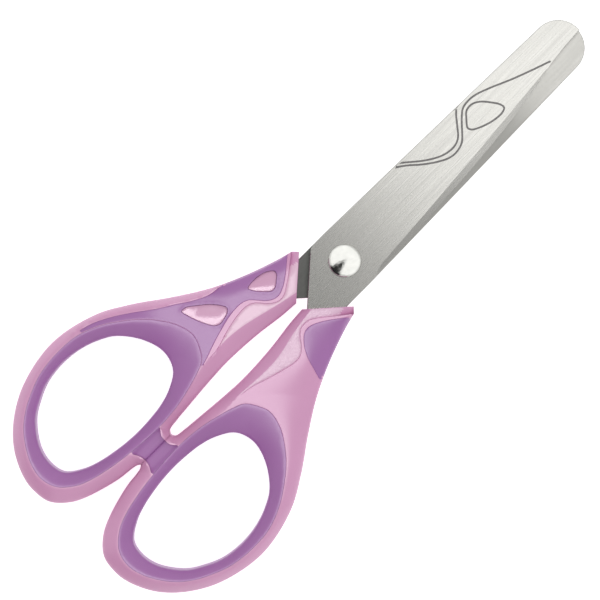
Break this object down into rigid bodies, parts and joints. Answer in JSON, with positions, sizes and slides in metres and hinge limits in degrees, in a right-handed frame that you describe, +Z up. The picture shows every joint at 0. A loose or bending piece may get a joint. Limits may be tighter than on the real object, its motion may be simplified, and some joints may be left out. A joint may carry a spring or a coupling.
{
  "type": "craft scissors",
  "caption": "Small round-tipped craft scissors: straight engraved steel blades on a domed rivet, rigid moulded handles with soft inlaid finger rings and windowed neck covers.",
  "frame": {"origin": "centre of the closed scissors' underside: midway along and across them, on the surface they lie on", "axes": "+X along the closed blades towards the tips, +Y towards the finger ring of the back half, +Z up out of the surface, through the rivet's head"},
  "size_m": [0.1292, 0.054, 0.008],
  "materials": {
    "stainless_steel": "brushed",
    "polished_steel": "polished",
    "pink_plastic": "satin",
    "pink_gloss_plastic": "glossy",
    "purple_soft_plastic": "matt"
  },
  "bodies": {
    "back_half": {"back_blade": "stainless_steel", "back_handle_core": "pink_plastic", "back_ring_grip": "purple_soft_plastic", "back_neck_cover": "purple_soft_plastic", "back_neck_pad": "purple_soft_plastic", "back_closing_stop": "purple_soft_plastic", "back_large_inlay": "pink_gloss_plastic", "back_small_inlay": "pink_gloss_plastic", "pivot_rivet": "polished_steel", "rivet_burr": "polished_steel"},
    "front_half": {"front_blade": "stainless_steel", "front_handle_core": "pink_plastic", "front_ring_grip": "purple_soft_plastic", "front_neck_cover": "purple_soft_plastic", "front_neck_pad": "purple_soft_plastic", "front_closing_stop": "purple_soft_plastic", "front_large_inlay": "pink_gloss_plastic", "front_small_inlay": "pink_gloss_plastic"}
  },
  "joints": [
    {"name": "blade_pivot", "type": "hinge", "parent": "back_half", "child": "front_half", "pos_m": [0.00483, 0, 0.004], "axis": [0, 0, 1], "range_deg": [0, 70]}
  ]
}
